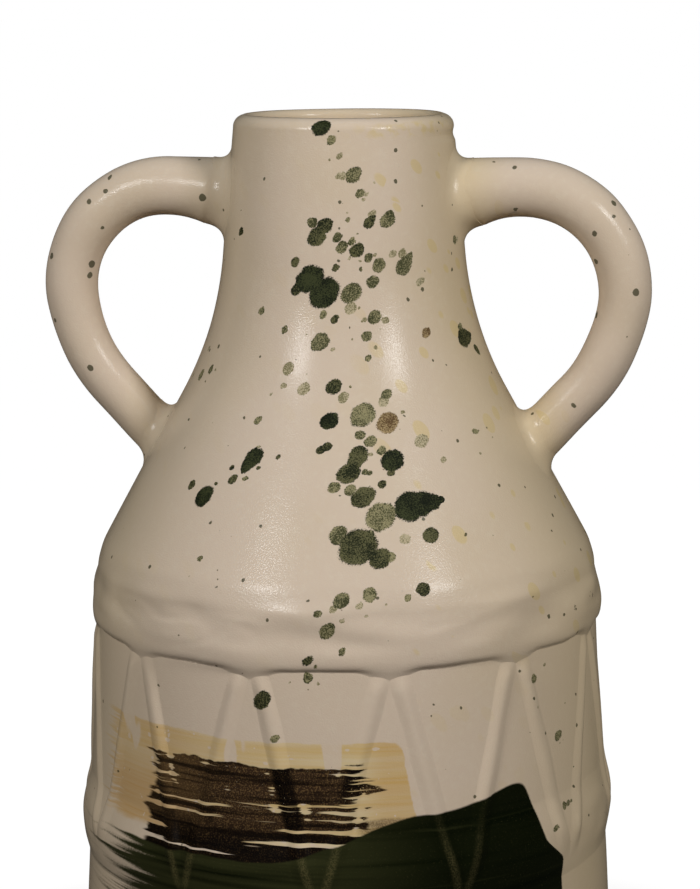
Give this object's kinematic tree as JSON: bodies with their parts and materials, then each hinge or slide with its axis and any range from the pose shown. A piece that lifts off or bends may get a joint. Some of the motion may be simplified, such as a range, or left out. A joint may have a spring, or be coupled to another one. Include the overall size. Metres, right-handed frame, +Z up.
{
  "type": "amphora vase",
  "caption": "Glazed stoneware amphora vase: flaring drum body with a laced relief, conical shoulder, rolled rim and a loop handle on each side, splashed and brushed with green glaze.",
  "frame": {"origin": "on the vase's axis, at the level that the foot ring stands on", "axes": "+Z up along the vase's axis, +X towards the right handle, -Y towards the front"},
  "size_m": [0.2416, 0.2202, 0.4],
  "materials": {
    "satin_glaze": "satin",
    "bare_clay": "unglazed"
  },
  "bodies": {
    "root": {"foot_ring": "bare_clay", "base_slab": "satin_glaze", "drum_wall": "satin_glaze", "shoulder_cone": "satin_glaze", "neck_tube": "satin_glaze", "rim_coil": "satin_glaze", "drumhead_band": "satin_glaze", "lower_hoop": "satin_glaze", "left_handle": "satin_glaze", "right_handle": "satin_glaze", "left_upper_fillet": "satin_glaze", "left_lower_fillet": "satin_glaze", "right_upper_fillet": "satin_glaze", "right_lower_fillet": "satin_glaze", "lace_01": "satin_glaze", "lace_02": "satin_glaze", "lace_03": "satin_glaze", "lace_04": "satin_glaze", "lace_05": "satin_glaze", "lace_06": "satin_glaze", "lace_07": "satin_glaze", "lace_08": "satin_glaze", "lace_09": "satin_glaze", "lace_10": "satin_glaze", "lace_11": "satin_glaze", "lace_12": "satin_glaze", "lace_13": "satin_glaze", "lace_14": "satin_glaze", "lace_15": "satin_glaze", "lace_16": "satin_glaze", "lace_17": "satin_glaze", "lace_18": "satin_glaze", "lace_19": "satin_glaze", "lace_20": "satin_glaze", "lace_21": "satin_glaze", "lace_22": "satin_glaze", "lace_23": "satin_glaze", "lace_24": "satin_glaze"}
  },
  "joints": []
}
